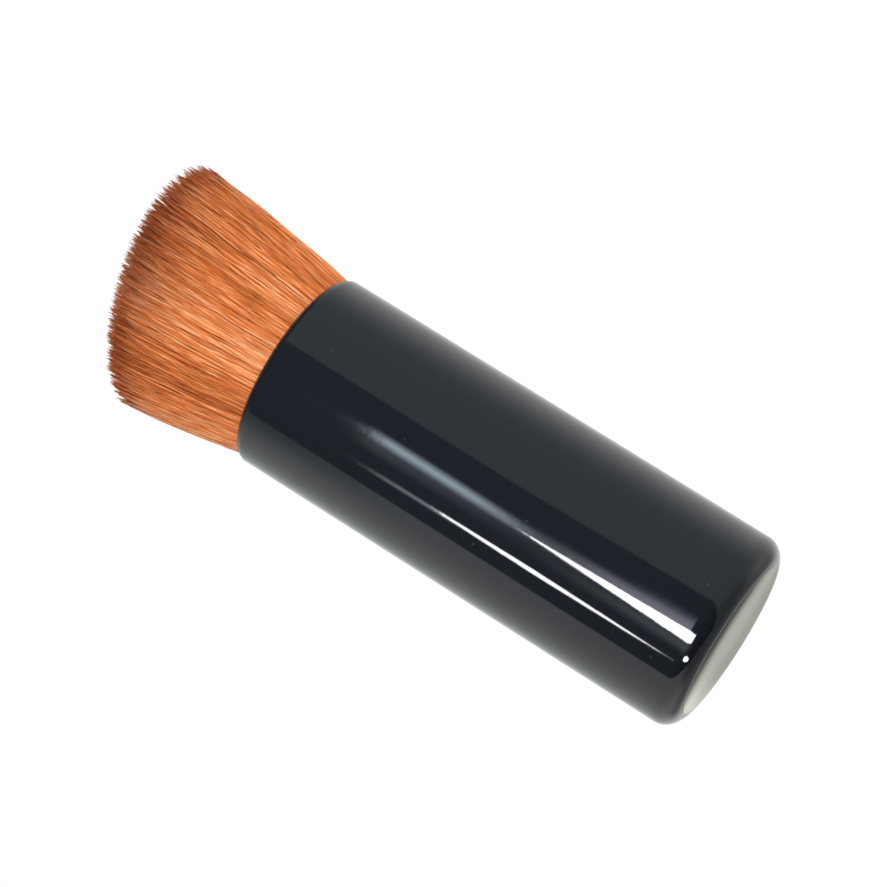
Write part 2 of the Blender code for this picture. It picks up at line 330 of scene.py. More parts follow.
def feed(tree, node, inputs):
    """Links a node's inputs to sockets, or to nodes' first outputs, and sets the others. A
    text is an sRGB colour."""
    for key, value in inputs.items():
        if isinstance(value, bpy.types.Node):
            value = value.outputs[0]
        if isinstance(value, bpy.types.NodeSocket):
            tree.links.new(value, node.inputs[key])
        else:
            is_hex = isinstance(value, str)
            node.inputs[key].default_value = linear_colour(value) if is_hex else value


def add_node(tree, kind, inputs=None, stops=(), **settings):
    """Adds a node with its settings and links, and returns it. Stops are for a ramp, each a
    position and an sRGB or linear colour."""
    node = tree.nodes.new(kind)
    for name, value in settings.items():
        setattr(node, name, value)
    feed(tree, node, inputs or {})
    for number, (position, colour) in enumerate(stops):
        ends = node.color_ramp.elements
        stop = ends[number] if number < 2 else ends.new(position)
        stop.position = position
        stop.color = linear_colour(colour) if isinstance(colour, str) else colour
    return node


def new_material(name, colour, roughness, **values):
    """A Principled material, its tree and its shader. Constant values go on the sockets,
    whose names are given with underscores."""
    material = bpy.data.materials.new(name)
    material.use_nodes = True
    tree = material.node_tree
    shader = tree.nodes["Principled BSDF"]
    values = {key.replace("_", " "): value for key, value in values.items()}
    feed(tree, shader, {"Base Color": colour, "Roughness": roughness, **values})
    material.diffuse_color = shader.inputs["Base Color"].default_value
    return material, tree, shader


def mesh_from_arrays(name, points, face_sets, uv_sets=None):
    """A mesh from whole arrays: points, and sets of faces that have one number of corners."""
    mesh = bpy.data.meshes.new(name)
    corners = np.concatenate([faces.ravel() for faces in face_sets]).astype(np.int32)
    sizes = np.concatenate([np.full(len(f), f.shape[1]) for f in face_sets])
    starts = np.concatenate([[0], np.cumsum(sizes)[:-1]]).astype(np.int32)
    mesh.vertices.add(len(points))
    mesh.vertices.foreach_set("co", np.asarray(points, np.float32).ravel())
    mesh.loops.add(len(corners))
    mesh.loops.foreach_set("vertex_index", corners)
    mesh.polygons.add(len(sizes))
    mesh.polygons.foreach_set("loop_start", starts)
    mesh.polygons.foreach_set("use_smooth", np.ones(len(sizes), bool))
    if uv_sets is not None:
        layer = mesh.uv_layers.new(name="OFBake")
        flat = np.concatenate([uv.reshape(-1, 2) for uv in uv_sets]).astype(np.float32)
        layer.uv.foreach_set("vector", flat.ravel())
    mesh.update(calc_edges=True)
    return mesh


def add_object(name, data):
    """An object in the scene with that mesh, lamp or camera."""
    added = bpy.data.objects.new(name, data)
    bpy.context.scene.collection.objects.link(added)
    return added


def place_piece(name, mesh, material, slot, *nodes):
    """Puts a finished mesh in the scene as a piece that stands for the named nodes."""
    mesh.materials.append(material)
    piece = add_object(name, mesh)
    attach(piece, "root")
    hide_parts(*nodes)


def round_axis(angle):
    """Unit vectors at angles round the axis: cosine along X and sine along Y."""
    return np.stack([np.cos(angle), np.sin(angle)], axis=-1)


def arc_points(centre_r, centre_z, radius_r, radius_z, start, end):
    """Profile points of an arc: centre plus radius times cosine and sine of the angle."""
    angle = np.linspace(start, end, ARC_STEPS + 1)
    return [centre_r, centre_z] + [radius_r, radius_z] * round_axis(angle)


def fan_faces(first, columns, hub, facing_back=False):
    """Triangles to the hub from a closed ring of points, which starts at the first."""
    column = np.arange(columns)
    ring = np.column_stack([column, (column + 1) % columns])
    if facing_back:
        ring = ring[:, ::-1]
    return np.column_stack([first + ring, np.full(columns, hub)])


def ring_faces(rows, columns):
    """Quads between neighbouring rings of points, each ring closed on itself."""
    row, column = np.meshgrid(np.arange(rows - 1), np.arange(columns), indexing="ij")
    after = (column + 1) % columns
    quad = [
        (row + 1) * columns + column,
        (row + 1) * columns + after,
        row * columns + after,
        row * columns + column,
    ]
    return np.stack(quad, axis=-1).reshape(-1, 4)


def turned_mesh(name, profile, steps):
    """A closed surface of revolution: each profile point (r, z) at angle a lies at
    (r cos a, r sin a, z). The profile starts and ends on the axis and runs down the
    outer side. The map unrolls it: the angle goes across it, the profile's length up it.
    """
    r, z = profile[1:-1].T[..., None, None]
    flat = r * round_axis(np.arange(steps) * math.tau / steps)
    body = np.concatenate([flat, np.repeat(z, steps, axis=1)], axis=-1)
    poles = [[0, 0, profile[0, 1]], [0, 0, profile[-1, 1]]]
    points = np.concatenate([body.reshape(-1, 3), poles])
    hub = len(r) * steps
    top = fan_faces(0, steps, hub)
    bottom = fan_faces(hub - steps, steps, hub + 1, facing_back=True)
    length = np.cumsum(np.linalg.norm(np.diff(profile, axis=0), axis=1))
    share = np.concatenate([[0], length / length[-1]])
    row, column = np.meshgrid(np.arange(len(r) - 1), np.arange(steps), indexing="ij")
    low, high = share[row + 2], share[row + 1]
    left, right = column / steps, (column + 1) / steps
    quad_uv = np.stack([left, low, right, low, right, high, left, high], axis=-1)
    left, right = left[0], right[0]
    middle = (left + right) / 2
    none, full = np.zeros(steps), np.ones(steps)
    low, high = share[-2] * full, share[1] * full
    top_uv = np.stack([left, high, right, high, middle, none], axis=-1)
    bottom_uv = np.stack([right, low, left, low, middle, full], axis=-1)
    face_sets = [ring_faces(len(r), steps), top, bottom]
    return mesh_from_arrays(name, points, face_sets, [quad_uv, top_uv, bottom_uv])


def handle_profile(handle):
    """Socket floor and wall, belled mouth, lip, straight side, rounded corner, base face.

    The bell is a parabola, so it joins on without a kink. The base face swells out with a
    power of the radius, so it is flat but for a soft bend at its rim.
    """
    length, radius, round_ = handle.length, handle.radius, handle.lip
    lip = arc_points(radius - round_, length - round_, round_, round_, LIP_REACH, 0)
    edge = INNER_EDGE_RADIUS
    # a flat as wide as the edge's radius lies between the inner edge and the lip
    mouth_radius, mouth_z = lip[0] - [2 * edge, edge]
    inner = arc_points(mouth_radius + edge, mouth_z, edge, edge, math.pi, math.pi / 2)
    climb = np.linspace(0, 1, ARC_STEPS)[:-1]
    bell_r = SOCKET_RADIUS + (mouth_radius - SOCKET_RADIUS) * climb**2
    bell = np.column_stack([bell_r, mouth_z - BELL_DEPTH * (1 - climb)])
    floor = [[0, SOCKET_FLOOR_Z], [SOCKET_RADIUS, SOCKET_FLOOR_Z]]
    width, height = handle.corner_width, handle.corner_height
    heights = np.linspace(length - round_ - HOLD_GAP, height + HOLD_GAP, SIDE_STEPS + 1)
    side = np.column_stack([np.full(len(heights), radius), heights])
    face_radius = radius - width
    corner = arc_points(face_radius, height, width, height - BASE_SWELL, 0, -math.pi / 2)
    flat = np.linspace(face_radius, 0, ARC_STEPS)[1:]
    base = np.column_stack([flat, BASE_SWELL * (flat / face_radius) ** BASE_SWELL_POWER])
    return np.concatenate([floor, bell, inner, lip, side, corner, base])


def black_resin(handle):
    """Cast black resin, polished: a clear mirror gloss over a blue-black body, with the
    faint haze of handling and a few specks of dust."""
    material, tree, shader = new_material(
        "polished black resin", tuple(handle.colour), handle.roughness, IOR=1.5
    )
    place = add_node(tree, TEXTURE_PLACE).outputs["Object"]
    haze = {"Vector": place, "Scale": 1 / HAZE_SIZE, "Detail": 5.0, "Roughness": 0.7}
    haze = add_node(tree, NOISE, haze)
    least = handle.roughness
    rough = {"Value": haze, **HAZE_RANGE, "To Min": least, "To Max": least + HAZE_ROUGHNESS}
    rough = add_node(tree, RANGE, rough)
    dust = add_node(tree, CELLS, {"Vector": place, "Scale": 1 / DUST_SPACING})
    speck = add_node(tree, RANGE, {"Value": dust, **DUST_RANGE})
    tint = {0: speck, MIX_UNDER: tuple(handle.colour), MIX_OVER: "3C4145"}
    tint = add_node(tree, MIX, tint, data_type="RGBA").outputs[MIX_COLOUR]
    ripple = add_node(tree, NOISE, {"Vector": place, "Scale": 1 / RIPPLE_SIZE, "Detail": 2.0})
    bump = add_node(tree, BUMP, {"Height": ripple, "Distance": RIPPLE_DEPTH})
    feed(tree, shader, {"Base Color": tint, "Roughness": rough, "Normal": bump})
    return material


def hair_radius(height):
    """Outside radius of the tuft at a height over the mouth.

    Over the mouth it is a parabola. Under it, it narrows to the roots with the square of
    the depth.
    """
    above, under = np.maximum(height, 0), np.minimum(height, 0)
    flare = FLARE_RADIUS + FLARE_SLOPE_SHARE * (above + under) - FLARE_BEND * above**2
    straight = FLARE_RADIUS + FLARE_SLOPE_SHARE * ROOT_Z
    return flare - (straight - ROOT_RADIUS) * (under / ROOT_Z) ** 2


def cut_height(share, angle):
    """Height over the mouth of the cut, for hair at a share of the tuft's radius.

    It is a plane that slants up towards +X, less a parabola along X for the crown and a
    power of the share for the rounding at the rim, deeper on the short side. The radius
    depends on the height, so it is found by rounds of substitution.
    """
    rim = (LONG_EDGE_DROP + SHORT_EDGE_DROP) / 2
    rim = rim + (LONG_EDGE_DROP - SHORT_EDGE_DROP) / 2 * np.cos(angle)
    height = np.full(np.shape(share), CUT_HEIGHT)
    for _ in range(CUT_ROUNDS):
        x = share * hair_radius(height) * np.cos(angle)
        plane = CUT_HEIGHT + SLANT_SHARE * x - x**2 / (2 * CROWN_RADIUS)
        height = plane - rim * share**EDGE_POWER
    return height


def seed_spiral(count):
    """Seats spread evenly over a disc as sunflower seeds are: share of the radius is the
    root of the seat's number over the count, and each seat turns on by the golden angle."""
    index = np.arange(count)
    return np.sqrt((index + 0.5) / count), (index * GOLDEN_ANGLE) % math.tau


def smooth_step(value):
    """Rises from 0 to 1 as value does, with level ends: 3 v squared less 2 v cubed."""
    v = np.clip(value, 0, 1)
    return v * v * (3 - 2 * v)


def waves_round(angle, middle, waves):
    """A middle value plus sine waves that go whole numbers of times round the tuft."""
    return middle + sum(size * np.sin(count * angle + turn) for count, size, turn in waves)


class Filaments:
    """Every filament's seat, tip, wander and tone, as arrays with one entry each."""

    def __init__(self, tuft):
        # seats, scattered a little
        chance = np.random.default_rng(SEED)
        count = tuft.filaments
        share, angle = seed_spiral(count)
        spacing = 1 / math.sqrt(count)
        share = np.clip(share + chance.normal(0, SEAT_SCATTER_OUT * spacing, count), 0, 1)
        turn = chance.normal(0, SEAT_SCATTER_ROUND * spacing, count)
        angle = angle + turn / np.maximum(share, spacing)
        self.share, self.angle = share, angle % math.tau
        self.seat = share[:, None] * round_axis(angle)
        # lean, from the tip's seat to the foot's; a foot past the rim is turned back in
        rim = hair_radius(CUT_HEIGHT)
        foot_share = share + chance.normal(0, LEAN_OUT / rim, count)
        foot_share = 1 - np.abs(1 - np.abs(foot_share))
        turn = chance.normal(0, LEAN_ROUND / rim, count)
        foot = round_axis(angle + turn / np.maximum(share, LEAST_SHARE))
        self.lean = foot_share[:, None] * foot - self.seat
        # the nearest clump's centre, and how far the tip lies under its point
        clumps = int(math.pi * (rim / tuft.clump_spacing) ** 2)
        c_share, c_angle = seed_spiral(clumps)
        centre = c_share[:, None] * round_axis(c_angle)
        scatter = CLUMP_SCATTER * tuft.clump_spacing / rim
        centre += chance.normal(0, scatter, centre.shape)
        gap = self.seat[:, None].astype(np.float32) - centre[None].astype(np.float32)
        gap = (gap**2).sum(axis=2)
        clump = gap.argmin(axis=1)
        self.pull = centre[clump] - self.seat
        reach = np.sqrt(gap.min(axis=1)) * rim / (tuft.clump_spacing / 2)
        drop = CLUMP_POINT * np.minimum(reach, CLUMP_LIMIT) ** 2
        drop += UNEVEN_TIP * chance.random(count) ** 2
        drop -= UNEVEN_CLUMP * chance.random(clumps)[clump]
        self.tip = cut_height(share, self.angle) + TIP_RAISE - drop
        # wander, thickness and tone
        self.phase = chance.uniform(0, math.tau, (count, 2))
        self.wave = chance.uniform(*WANDER_PACES, (count, 2)) * math.tau / WANDER_LENGTH
        self.sway = chance.normal(0, 1, (count, 2))
        self.twist = chance.uniform(0, math.tau, count)
        self.size = chance.uniform(*FILAMENT_SIZES, count)
        # where the darkening starts goes in waves of painted shade round the tuft
        self.darkening_start = waves_round(self.angle, DARKENING_START, DARKENING_SHADE_WAVES)
        # the tone's waves round the tuft are painted shade and sheen; the spreads after them are
        # tone that differs at random
        tone = waves_round(self.angle, TONE_MIDDLE, SHADE_AND_SHEEN_WAVES)
        tone += TONE_SPREAD * chance.normal(0, 1, count)
        tone += CLUMP_TONE_SPREAD * chance.normal(0, 1, clumps)[clump]
        self.tone = np.clip(tone, *TONE_LIMITS)

    def chosen(self, which):
        """The same arrays for some of the filaments."""
        return SimpleNamespace(**{name: whole[which] for name, whole in vars(self).items()})


def filament_heights(tip, outer):
    """Heights of each filament's rings. An outer one has rings in the socket and at the
    mouth, then even steps to its tip; an inner one has even steps over its last part."""
    if not outer:
        steps = np.linspace(0, 1, INNER_RINGS)
        return tip - INNER_LENGTH * (1 - steps)
    low = np.array([ROOT_Z, 0.5 * ROOT_Z, 0])
    steps = np.linspace(0, 1, OUTER_RINGS - len(low) + 1)[1:]
    high = low[-1] + (tip - low[-1]) * steps
    return np.concatenate([np.repeat(low[None], len(tip), axis=0), high], axis=1)


def filament_centres(mine, height, below):
    """Centre of each ring: the seat times the tuft's radius at that height. The seat goes
    in a straight line from the foot's to the tip's, with a pull towards the clump's centre
    that grows near the tip. A lean to the short side and a slow sideways wave are added.
    """
    pull = CLUMP_PULL_SHARE * smooth_step(1 - below / CLUMP_HEIGHT)
    foot = np.clip(below / CUT_HEIGHT, 0, 1)
    seat = mine.seat[:, None] + foot[..., None] * mine.lean[:, None]
    seat = seat + pull[..., None] * mine.pull[:, None]
    centre = seat * hair_radius(height)[..., None]
    centre[..., 0] -= TUFT_SHIFT * np.clip(height / CUT_HEIGHT, 0, 1)
    wave = np.sin(height[..., None] * mine.wave[:, None] + mine.phase[:, None])
    sway = mine.sway[:, None] * [WANDER_OUT, WANDER_ROUND]
    free = smooth_step(height / WANDER_START) * (1 - pull / CLUMP_PULL_SHARE)
    wander = wave * sway * free[..., None]
    out = round_axis(mine.angle[:, None])
    side = out[..., ::-1] * [-1, 1]
    return centre + wander[..., :1] * out + wander[..., 1:] * side


def filament_map(tone, depth):
    """The map of the filaments' sides, then of both their ends: each filament goes up the
    map as it goes along the hair, in a narrow strip at its own tone."""
    step = TONE_WIDTH_SHARE
    left, right = tone - step, tone + step
    row = np.repeat(np.arange(depth.shape[1] - 1), 3)
    lower, upper = depth[:, row], depth[:, row + 1]
    one_side = np.broadcast_to(left[:, None], lower.shape)
    other_side = np.broadcast_to(right[:, None], lower.shape)
    side_uv = [one_side, lower, other_side, lower, other_side, upper, one_side, upper]
    low, high = depth[:, 0], depth[:, -1] - step
    end_uv = [left, low, right, low, tone, low + step]
    end_uv += [left, high, right, high, tone, high + step]
    return [np.stack(side_uv, axis=-1), np.stack(end_uv, axis=-1)]


def filament_mesh(name, mine, tuft, outer):
    """Three-sided filaments, whose corners stand round each ring's centre and which taper
    smoothly over their last part, with both ends closed."""
    tip = mine.tip[:, None]
    height = filament_heights(tip, outer)
    count, rings = height.shape
    below = tip - height
    centre = filament_centres(mine, height, below)
    taper = TIP_SIZE_SHARE + (1 - TIP_SIZE_SHARE) * smooth_step(below / TAPER_LENGTH)
    thick = tuft.filament_radius * mine.size[:, None] * taper
    spoke = round_axis(mine.twist[:, None] + np.arange(3) * math.tau / 3)
    flat = centre[:, :, None] + thick[..., None, None] * spoke[:, None]
    z = np.repeat((height + HANDLE_LENGTH)[..., None, None], 3, axis=2)
    points = np.concatenate([flat, z], axis=-1).reshape(-1, 3)
    base = (np.arange(count) * rings * 3)[:, None, None]
    sides = (base + ring_faces(rings, 3)[:, ::-1]).reshape(-1, 4)
    ends = np.array([[2, 1, 0], [0, 1, 2]]) + [[0], [(rings - 1) * 3]]
    ends = (base + ends).reshape(-1, 3)
    depth = 1 - (below + mine.darkening_start[:, None]) / DEPTH_SPAN
    uv_sets = filament_map(mine.tone, depth)
    return mesh_from_arrays(name, points, [sides, ends], uv_sets)


def joined_mesh(name, meshes):
    """One mesh from several, with their maps, and the parts removed."""
    holders = [add_object(name, mesh) for mesh in meshes]
    with bpy.context.temp_override(
        active_object=holders[0], object=holders[0], selected_editable_objects=holders
    ):
        bpy.ops.object.join()
    mesh = holders[0].data
    bpy.data.objects.remove(holders[0], do_unlink=True)
    return mesh


def nylon_filament(tuft):
    """Nylon filament, drawn, crimped and coloured: satin copper brown, each one a little lighter
    or darker than the next, and deeper towards the cut. Its sides carry painted shade and sheen
    round the tuft, and dashes of painted highlight and shade run along it."""
    material, tree, shader = new_material(
        "drawn nylon filament", tuple(tuft.colour), tuft.roughness, Specular_IOR_Level=0.3
    )
    spot = add_node(tree, "ShaderNodeUVMap", uv_map="OFBake")
    parts = add_node(tree, "ShaderNodeSeparateXYZ", {"Vector": spot}).outputs
    # dashes of painted highlight and shade along each filament move its tone lighter and darker
    cells = add_node(tree, MAPPING, {"Vector": spot, "Scale": GLINT_DASH_CELLS})
    glint_dash = add_node(tree, NOISE, {"Vector": cells, "Scale": 1.0, "Detail": 0.0})
    shade = add_node(tree, MATH, {0: glint_dash, 1: 0.5}, operation="SUBTRACT")
    shade = {0: shade, 1: GLINT_DASH_CONTRAST, 2: parts["X"]}
    shade = add_node(tree, MATH, shade, operation="MULTIPLY_ADD")
    tones = (tuft.dark_colour, tuft.colour, tuft.light_colour)
    tones = zip(TONE_PLACES, map(tuple, tones))
    tone = add_node(tree, RAMP, {"Fac": shade}, tones)
    # darker towards the cut, starting where the waves of painted shade put it
    darkening = add_node(tree, RAMP, {"Fac": parts["Y"]}, TIP_DARKENING)
    darkened_tone = {0: 1.0, MIX_UNDER: tone, MIX_OVER: darkening}
    darkened_tone = add_node(tree, MIX, darkened_tone, data_type="RGBA", blend_type="MULTIPLY")
    feed(tree, shader, {"Base Color": darkened_tone.outputs[MIX_COLOUR]})
    return material


def core_mesh(name):
    """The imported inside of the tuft: the radius is a share of the hair's at each height,
    and the top follows the cut some way under it. Closed with a point at each end."""
    angle = np.arange(CORE_COLUMNS) * math.tau / CORE_COLUMNS
    top = cut_height(np.full(CORE_COLUMNS, CORE_SHARE), angle) - CORE_DEPTH
    climb = np.linspace(0, 1, CORE_ROWS)[:, None]
    height = ROOT_Z + (top - ROOT_Z) * climb
    r = CORE_SHARE * hair_radius(height)
    inward = np.linspace(*CORE_CAP_SHARES, CORE_CAP_RINGS)[:, None]
    cap_height = cut_height(inward * CORE_SHARE, angle[None]) - CORE_DEPTH
    cap_r = CORE_SHARE * inward * hair_radius(cap_height)
    r, height = np.concatenate([r, cap_r]), np.concatenate([height, cap_height])
    x, y = r * np.cos(angle), r * np.sin(angle)
    body = np.stack([x, y, height + HANDLE_LENGTH], axis=-1).reshape(-1, 3)
    peak = cut_height(np.zeros(1), np.zeros(1))[0] - CORE_DEPTH + HANDLE_LENGTH
    points = np.concatenate([body, [[0, 0, ROOT_Z + HANDLE_LENGTH], [0, 0, peak]]])
    quads = ring_faces(len(r), CORE_COLUMNS)[:, ::-1]
    hub = len(body)
    bottom = fan_faces(0, CORE_COLUMNS, hub, facing_back=True)
    cap = fan_faces(hub - CORE_COLUMNS, CORE_COLUMNS, hub + 1)
    return mesh_from_arrays(name, points, [quads, bottom, cap])


def packed_filament():
    """The inside of the bundle, where nylon filaments lie shut: dark umber, a painted shade of
    the tuft's inside, with fine streaks along the hair a filament's width apart, painted shade
    between the filaments."""
    # the dark umber and its streaks are painted shade inside the tuft
    material, tree, shader = new_material("packed nylon filament", "7A4024", 0.6, IOR=1.5)
    place = add_node(tree, TEXTURE_PLACE).outputs["Object"]
    drawn = add_node(tree, MAPPING, {"Vector": place, "Scale": (1, 1, STREAK_STRETCH)})
    streak = add_node(tree, NOISE, {"Vector": drawn, "Scale": 1 / STREAK_WIDTH, "Detail": 1.0})
    tone = add_node(tree, RAMP, {"Fac": streak}, ((0.3, "4A2412"), (0.7, "A15A33")))
    bump = add_node(tree, BUMP, {"Height": streak, "Strength": 0.6, "Distance": STREAK_RELIEF})
    feed(tree, shader, {"Base Color": tone, "Normal": bump})
    return material


def slice_profile():
    """The slice of resin that the hair grows from, with softly rounded edges."""
    top_z = HANDLE_LENGTH - SLICE_DEPTH
    bottom_z = top_z - SLICE_THICKNESS
    reach, edge = SLICE_RADIUS - SLICE_EDGE, SLICE_EDGE
    top = arc_points(reach, top_z - edge, edge, edge, math.pi / 2, 0)
    bottom = arc_points(reach, bottom_z + edge, edge, edge, 0, -math.pi / 2)
    return np.concatenate([[[0, top_z]], top, bottom, [[0, bottom_z]]])


def cast_resin(name, colour, light_colour, roughness, cloud_size):
    """Set resin: a smooth amber body with cloudy swirls and small trapped bubbles."""
    material, tree, shader = new_material(name, colour, roughness, IOR=1.52)
    place = add_node(tree, TEXTURE_PLACE).outputs["Object"]
    cloud = {"Vector": place, "Scale": 1 / cloud_size, "Detail": 3.0, "Distortion": 0.8}
    cloud = add_node(tree, NOISE, cloud)
    tone = add_node(tree, RAMP, {"Fac": cloud}, ((0.3, colour), (0.75, light_colour)))
    bubble = add_node(tree, CELLS, {"Vector": place, "Scale": 1 / BUBBLE_SPACING})
    pit = add_node(tree, RANGE, {"Value": bubble, **BUBBLE_RANGE})
    bump = add_node(tree, BUMP, {"Height": pit, "Strength": 0.3, "Distance": BUBBLE_RELIEF})
    feed(tree, shader, {"Base Color": tone, "Normal": bump})
    return material


def drawn_aluminium():
    """Deep-drawn aluminium: bright bare metal with fine draw lines along the cup's wall."""
    material, tree, shader = new_material("drawn aluminium", "C9CCCF", 0.3, Metallic=1.0)
    place = add_node(tree, TEXTURE_PLACE).outputs["Object"]
    drawn = add_node(tree, MAPPING, {"Vector": place, "Scale": (1, 1, DRAW_LINE_STRETCH)})
    line = add_node(tree, NOISE, {"Vector": drawn, "Scale": 1 / DRAW_LINE_WIDTH, "Detail": 2.0})
    rough = add_node(tree, RANGE, {"Value": line, **DRAW_LINE_ROUGHNESS})
    tint = add_node(tree, RAMP, {"Fac": line}, ((0.0, "B4B8BC"), (1.0, "D8DADC")))
    bump = add_node(tree, BUMP, {"Height": line, "Strength": 0.2, "Distance": DRAW_LINE_RELIEF})
    feed(tree, shader, {"Base Color": tint, "Roughness": rough, "Normal": bump})
    return material


def waxed_thread():
    """Cotton thread, spun and waxed: off-white plies that slant across it, with a dull
    waxy sheen."""
    material, tree, shader = new_material("waxed cotton", "E6DFCF", 0.75, Sheen_Weight=0.2)
    place = add_node(tree, TEXTURE_PLACE).outputs["Object"]
    ply = {"Vector": place, "Scale": 1 / PLY_WAVE, "Distortion": 2.0, "Detail": 2.0}
    ply = add_node(tree, "ShaderNodeTexWave", ply, bands_direction="DIAGONAL")
    tone = add_node(tree, RAMP, {"Fac": ply}, ((0.0, "CFC5AE"), (1.0, "F0EADC")))
    bump = {"Height": ply.outputs["Fac"], "Strength": 0.5, "Distance": PLY_RELIEF}
    bump = add_node(tree, BUMP, bump)
    feed(tree, shader, {"Base Color": tone, "Normal": bump})
    return material


def soft_band(tree, value, rise, fall=None):
    """Share of the way into a band, from 0 to 1: it climbs smoothly as the value goes
    through the rise, and sinks again as it goes through the fall, if there is one."""
    up = {"Value": value, "From Min": rise[0], "From Max": rise[1]}
    up = add_node(tree, RANGE, up, interpolation_type="SMOOTHSTEP")
    if fall is None:
        return up
    down = {"Value": value, "From Min": fall[1], "From Max": fall[0]}
    down = add_node(tree, RANGE, down, interpolation_type="SMOOTHSTEP")
    return add_node(tree, MATH, {0: up, 1: down}, operation="MULTIPLY")


def gloss_light(tree, around, height, foot, top, fade, soft, level, colour):
    """One light of the studio's round, as gloss shows it. Its middle line and half width
    go in straight lines from its foot to its top; its edges and both ends are soft.
    """
    line = {"Value": height, "From Min": foot[1], "From Max": top[1]}
    middle = add_node(tree, RANGE, {**line, "To Min": foot[0], "To Max": top[0]})
    half = add_node(tree, RANGE, {**line, "To Min": foot[2], "To Max": top[2]})
    off = add_node(tree, MATH, {0: around, 1: middle}, operation="SUBTRACT")
    off = add_node(tree, MATH, {0: off}, operation="ABSOLUTE")
    inside = add_node(tree, MATH, {0: half, 1: off}, operation="SUBTRACT")
    across = soft_band(tree, inside, (-soft, soft))
    rise, fall = (foot[1], foot[1] + fade[0]), (top[1] - fade[1], top[1])
    along = soft_band(tree, height, rise, fall)
    share = add_node(tree, MATH, {0: across, 1: along}, operation="MULTIPLY")
    glow = add_node(tree, MATH, {0: share, 1: level}, operation="MULTIPLY")
    return add_node(tree, BACKGROUND, {"Color": colour, "Strength": glow})


def studio_round(tree):
    """What gloss shows: white, the zones of the studio one over the other, and the lights.

    The angle round the brush and the height over the horizon come from the direction.
    """
    way = add_node(tree, TEXTURE_PLACE).outputs["Generated"]
    parts = add_node(tree, "ShaderNodeSeparateXYZ", {"Vector": way}).outputs
    back = add_node(tree, MATH, {0: parts["Y"], 1: -1.0}, operation="MULTIPLY")
    around = add_node(tree, MATH, {0: parts["X"], 1: back}, operation="ARCTAN2")
    around = add_node(tree, MATH, {0: around}, operation="DEGREES")
    height = add_node(tree, MATH, {0: parts["Z"]}, operation="ARCSINE")
    height = add_node(tree, MATH, {0: height}, operation="DEGREES")
    off = add_node(tree, MATH, {0: around}, operation="ABSOLUTE")
    slant = add_node(tree, RANGE, {"Value": height, **UNLIT_SLANT})
    slanted = add_node(tree, MATH, {0: around, 1: slant}, operation="SUBTRACT")
    angles = {"around": around, "off": off, "height": height, "slanted": slanted}

    climb = add_node(tree, RANGE, {"Value": height, **TABLE_EDGE_RANGE})
    edge = add_node(tree, RAMP, {"Fac": climb}, TABLE_EDGE)
    above, below = UNLIT_COLOURS
    unlit = {0: soft_band(tree, height, UNLIT_DARKENING), MIX_UNDER: above, MIX_OVER: below}
    unlit = add_node(tree, MIX, unlit, data_type="RGBA").outputs[MIX_COLOUR]
    own_colours = {"table edge": edge, "unlit side": unlit}

    seen = WHITE
    for name, colour, *bands in GLOSS_ZONES:
        share, *others = [soft_band(tree, angles[angle], *band) for angle, *band in bands]
        for other in others:
            share = add_node(tree, MATH, {0: share, 1: other}, operation="MULTIPLY")
        layer = {0: share, MIX_UNDER: seen, MIX_OVER: colour or own_colours[name]}
        seen = add_node(tree, MIX, layer, data_type="RGBA").outputs[MIX_COLOUR]
    gloss = add_node(tree, BACKGROUND, {"Color": seen})
    for light in GLOSS_LIGHTS:
        glow = gloss_light(tree, around, height, *light)
        gloss = add_node(tree, "ShaderNodeAddShader", {0: gloss, 1: glow})
    return gloss


def studio_world(stage):
    """White round the brush for the camera and through glass, the studio for gloss, and an
    even white light on all that is matt."""
    world = bpy.data.worlds.new("white studio")
    world.use_nodes = True
    tree = world.node_tree
    tree.nodes.clear()
    gloss = studio_round(tree)
    fill = add_node(tree, BACKGROUND, {"Color": WHITE, "Strength": stage.fill_level})
    backdrop = add_node(tree, BACKGROUND, {"Color": WHITE})
    ray = add_node(tree, LIGHT_PATH).outputs
    shown = {0: ray["Is Camera Ray"], 1: ray["Is Transmission Ray"]}
    shown = add_node(tree, MATH, shown, operation="MAXIMUM")
    lit = add_node(tree, MIX_SHADER, {0: ray["Is Glossy Ray"], 1: fill, 2: gloss})
    final = add_node(tree, MIX_SHADER, {0: shown, 1: lit, 2: backdrop})
    add_node(tree, "ShaderNodeOutputWorld", {"Surface": final})
    bpy.context.scene.world = world


def floor_paper(stage):
    """Matt white paper, seen from above only. It keeps the brush's shadow, and further out
    it fades into the white of the backdrop."""
    material = bpy.data.materials.new("matt white paper")
    material.use_nodes = True
    tree = material.node_tree
    tree.nodes.clear()
    place = add_node(tree, TEXTURE_PLACE).outputs["Object"]
    away = add_node(tree, "ShaderNodeVectorMath", {0: place}, operation="LENGTH")
    ray = add_node(tree, LIGHT_PATH).outputs
    fade = soft_band(tree, away.outputs["Value"], FLOOR_FADE)
    fade = add_node(tree, MATH, {0: fade, 1: ray["Is Camera Ray"]}, operation="MULTIPLY")
    paper = {"Color": tuple(stage.floor_colour), "Roughness": 0.5}
    paper = add_node(tree, "ShaderNodeBsdfDiffuse", paper)
    white = add_node(tree, "ShaderNodeEmission", {"Strength": 1.0})
    clear = add_node(tree, "ShaderNodeBsdfTransparent")
    top = add_node(tree, MIX_SHADER, {0: fade, 1: paper, 2: white})
    side = add_node(tree, "ShaderNodeNewGeometry").outputs["Backfacing"]
    unseen = add_node(tree, MATH, {0: side, 1: ray["Is Glossy Ray"]}, operation="MAXIMUM")
    unseen = {0: unseen, 1: ray["Is Transmission Ray"]}
    unseen = add_node(tree, MATH, unseen, operation="MAXIMUM")
    final = add_node(tree, MIX_SHADER, {0: unseen, 1: top, 2: clear})
    add_node(tree, "ShaderNodeOutputMaterial", {"Surface": final})
    return material


